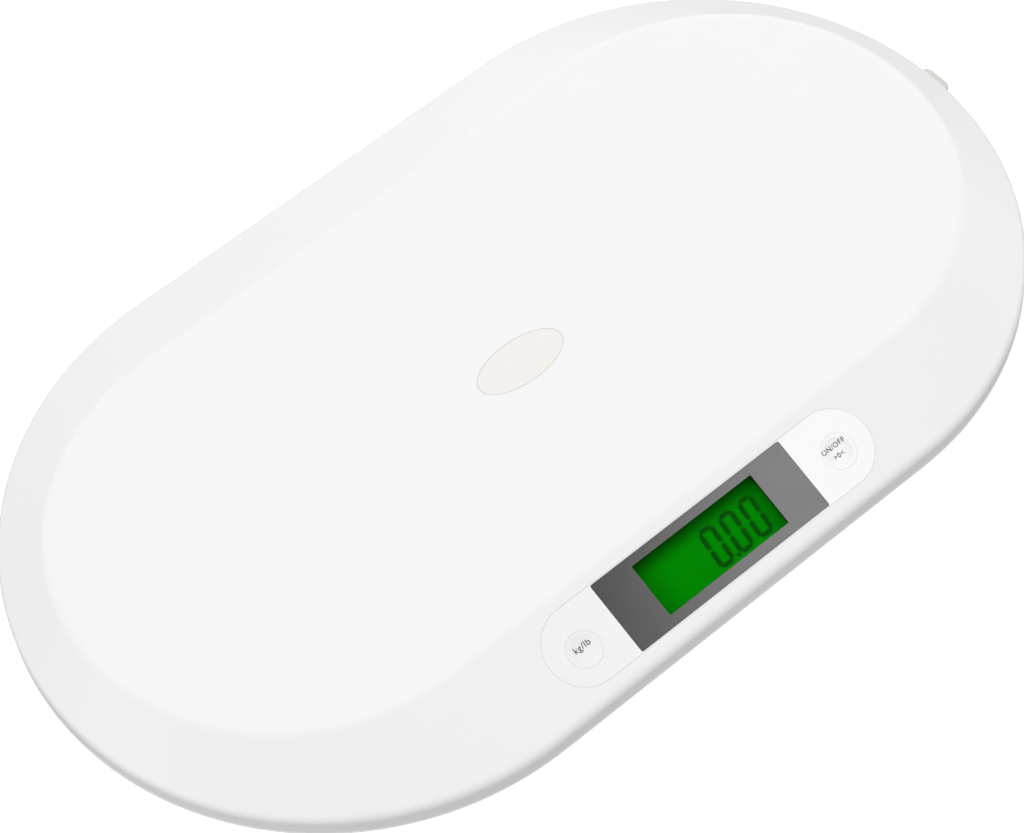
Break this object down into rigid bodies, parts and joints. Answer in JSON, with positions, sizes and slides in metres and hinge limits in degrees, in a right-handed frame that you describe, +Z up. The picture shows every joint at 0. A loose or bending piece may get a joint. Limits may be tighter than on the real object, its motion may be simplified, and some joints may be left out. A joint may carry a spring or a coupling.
{
  "type": "digital baby weighing scale",
  "caption": "Flat racetrack-shaped baby weighing scale with a sloping display panel, two press keys, sprung load-cell feet, a battery bay and a pull-out measuring tape.",
  "frame": {"origin": "centre of the bounding box at floor level, under the rubber feet", "axes": "+X along the tray's length towards the measuring tape, +Y away from the display, +Z up"},
  "size_m": [0.558, 0.326, 0.044],
  "materials": {
    "white_plastic": "smooth semi-gloss white plastic",
    "panel_film": "white printed film, semi-gloss",
    "smoked_window": "smoked clear pane, glossy",
    "black_foam": "matte foam",
    "lcd_green": "green back-lit display glass",
    "lcd_ink": "dark display segments",
    "ivory_plastic": "ivory moulded plastic",
    "light_guide": "diffusing plastic",
    "contact_rubber": "layered contact rubber",
    "circuit_board": "green solder mask",
    "black_plastic": "matte black plastic",
    "steel": "zinc-plated steel",
    "battery_can": "printed steel can",
    "red_lead": "insulated lead",
    "grey_plastic": "light grey moulded plastic",
    "spring_steel": "blued spring steel",
    "label_print": "printed label",
    "orange_plastic": "orange moulded plastic",
    "tape": "coated woven tape",
    "rubber_grey": "matt grey rubber"
  },
  "bodies": {
    "tray": {"tray_shell": "white_plastic", "bottom_cover": "white_plastic", "overlay_film": "panel_film", "display_window": "smoked_window", "lcd_gasket": "black_foam", "lcd_glass": "lcd_green", "lcd_digits": "lcd_ink", "lcd_frame": "ivory_plastic", "back_light": "light_guide", "contact_strips": "contact_rubber", "main_board": "circuit_board", "board_chips": "black_plastic", "board_connectors": "ivory_plastic", "power_switch": "black_plastic", "unit_switch": "black_plastic", "board_screws": "steel", "cover_screws": "steel", "battery_1": "battery_can", "battery_2": "battery_can", "battery_3": "battery_can", "battery_4": "battery_can", "battery_springs": "steel", "battery_plates": "steel", "battery_leads": "red_lead", "cell_leads": "red_lead", "tape_cassette": "grey_plastic", "cassette_lid": "grey_plastic", "cassette_screws": "steel", "power_spring": "spring_steel", "tape_mouth": "white_plastic", "centre_label": "label_print", "load_pins": "steel"},
    "power_key": {"power_button": "white_plastic", "power_plunger": "black_plastic"},
    "unit_key": {"unit_button": "white_plastic", "unit_plunger": "black_plastic"},
    "tape_end": {"tape_tab": "ivory_plastic", "tape_blade": "tape"},
    "spool": {"tape_spool": "orange_plastic", "tape_roll": "tape"},
    "door": {"battery_door": "white_plastic"},
    "foot_1": {"foot_cup_1": "grey_plastic", "rubber_foot_1": "rubber_grey", "load_cell_1": "steel"},
    "foot_2": {"foot_cup_2": "grey_plastic", "rubber_foot_2": "rubber_grey", "load_cell_2": "steel"},
    "foot_3": {"foot_cup_3": "grey_plastic", "rubber_foot_3": "rubber_grey", "load_cell_3": "steel"},
    "foot_4": {"foot_cup_4": "grey_plastic", "rubber_foot_4": "rubber_grey", "load_cell_4": "steel"}
  },
  "joints": [
    {"name": "power_press", "type": "slide", "parent": "tray", "child": "power_key", "axis": [0, 0.3702, -0.929], "range_m": [0, 0.0005], "stiffness_N_per_m": 400},
    {"name": "unit_press", "type": "slide", "parent": "tray", "child": "unit_key", "axis": [0, 0.3702, -0.929], "range_m": [0, 0.0005], "stiffness_N_per_m": 400},
    {"name": "tape_pull", "type": "slide", "parent": "tray", "child": "tape_end", "axis": [1, 0, 0], "range_m": [0, 0.95], "stiffness_N_per_m": 1.5, "springref_m": -1, "deforming": ["tape_blade"]},
    {"name": "spool_turn", "type": "hinge", "parent": "tray", "child": "spool", "pos_m": [0.236, 0, 0.027], "axis": [0, -1, 0], "range_deg": [0, 5801]},
    {"name": "door_hinge", "type": "hinge", "parent": "tray", "child": "door", "pos_m": [0, 0.0311, 0.0132], "axis": [-1, 0, 0], "range_deg": [0, 100]},
    {"name": "foot_press_1", "type": "slide", "parent": "tray", "child": "foot_1", "axis": [0, 0, 1], "range_m": [0, 0.0005], "stiffness_N_per_m": 20000},
    {"name": "foot_press_2", "type": "slide", "parent": "tray", "child": "foot_2", "axis": [0, 0, 1], "range_m": [0, 0.0005], "stiffness_N_per_m": 20000},
    {"name": "foot_press_3", "type": "slide", "parent": "tray", "child": "foot_3", "axis": [0, 0, 1], "range_m": [0, 0.0005], "stiffness_N_per_m": 20000},
    {"name": "foot_press_4", "type": "slide", "parent": "tray", "child": "foot_4", "axis": [0, 0, 1], "range_m": [0, 0.0005], "stiffness_N_per_m": 20000}
  ],
  "couplings": [
    {"joint": "spool_turn", "follows": "tape_pull", "rad_per_m": 106.4}
  ]
}
